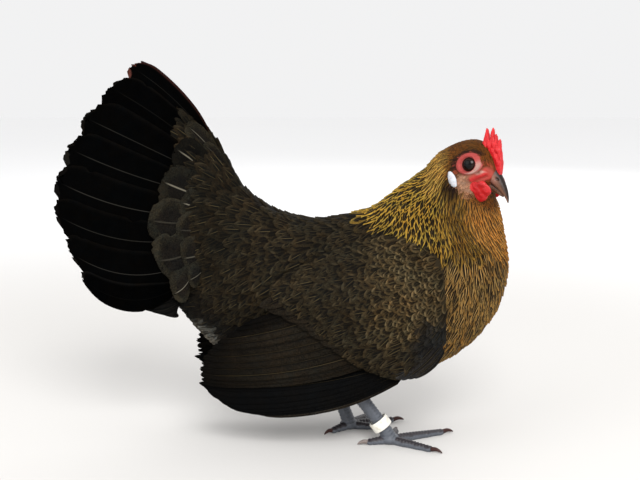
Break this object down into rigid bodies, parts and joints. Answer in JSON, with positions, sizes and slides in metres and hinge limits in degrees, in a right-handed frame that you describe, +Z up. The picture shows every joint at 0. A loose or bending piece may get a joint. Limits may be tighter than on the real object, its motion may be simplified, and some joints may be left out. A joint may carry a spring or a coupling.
{
  "type": "standing bantam hen model",
  "caption": "Life-size still model of a Dutch bantam hen, standing with fanned tail, drooped wings and head turned to her right.",
  "frame": {"origin": "on the floor, under the centre of the bounding box", "axes": "+X forward, the way her body points; +Y to her left; +Z up"},
  "size_m": [0.2906, 0.101, 0.2429],
  "materials": {
    "body_plumage": "matte",
    "hackle_plumage": "matte",
    "tail_plumage": "satin",
    "face_skin": "matte",
    "comb_skin": "satin",
    "earlobe_skin": "satin",
    "horn": "satin",
    "leg_scale": "satin",
    "eye": "gloss",
    "leg_band_plastic": "satin"
  },
  "bodies": {
    "root": {"torso": "body_plumage", "neck": "hackle_plumage", "head": "face_skin", "eye_right": "eye", "eye_left": "eye", "beak_upper": "horn", "beak_lower": "horn", "comb": "comb_skin", "wattle_right": "comb_skin", "wattle_left": "comb_skin", "earlobe_right": "earlobe_skin", "earlobe_left": "earlobe_skin", "wing_right": "body_plumage", "wing_left": "body_plumage", "tail_right": "tail_plumage", "tail_left": "tail_plumage", "thigh_right": "body_plumage", "thigh_left": "body_plumage", "shank_right": "leg_scale", "shank_left": "leg_scale", "foot_right": "leg_scale", "foot_left": "leg_scale", "claw_right_inner": "horn", "claw_right_middle": "horn", "claw_right_outer": "horn", "claw_right_hind": "horn", "claw_left_inner": "horn", "claw_left_middle": "horn", "claw_left_outer": "horn", "claw_left_hind": "horn", "leg_band": "leg_band_plastic"}
  },
  "joints": []
}
